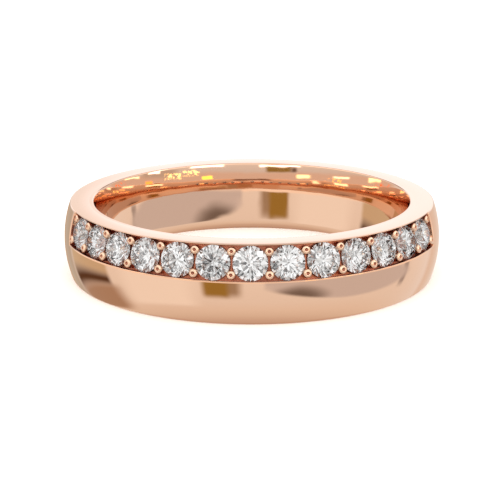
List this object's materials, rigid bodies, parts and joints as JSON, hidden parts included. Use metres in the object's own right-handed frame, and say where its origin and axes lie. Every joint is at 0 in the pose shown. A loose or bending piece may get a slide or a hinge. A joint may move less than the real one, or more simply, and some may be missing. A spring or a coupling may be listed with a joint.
{
  "type": "wedding band",
  "caption": "Domed comfort-fit ring for a finger, with a row of small round stones bead-set in a channel along one edge of its front.",
  "frame": {"origin": "middle of the finger hole at the ring's lower flat side face, on which it lies", "axes": "+Z along the finger hole, towards the side face that the stones are nearer to; the middle stone faces -Y"},
  "size_m": [0.0202, 0.0202, 0.004],
  "materials": {
    "rose_gold": "polished 18 ct rose gold",
    "diamond": "brilliant-cut clear diamond"
  },
  "bodies": {
    "root": {"band": "rose_gold", "diamond_01": "diamond", "diamond_02": "diamond", "diamond_03": "diamond", "diamond_04": "diamond", "diamond_05": "diamond", "diamond_06": "diamond", "diamond_07": "diamond", "diamond_08": "diamond", "diamond_09": "diamond", "diamond_10": "diamond", "diamond_11": "diamond", "diamond_12": "diamond", "diamond_13": "diamond"}
  },
  "joints": []
}
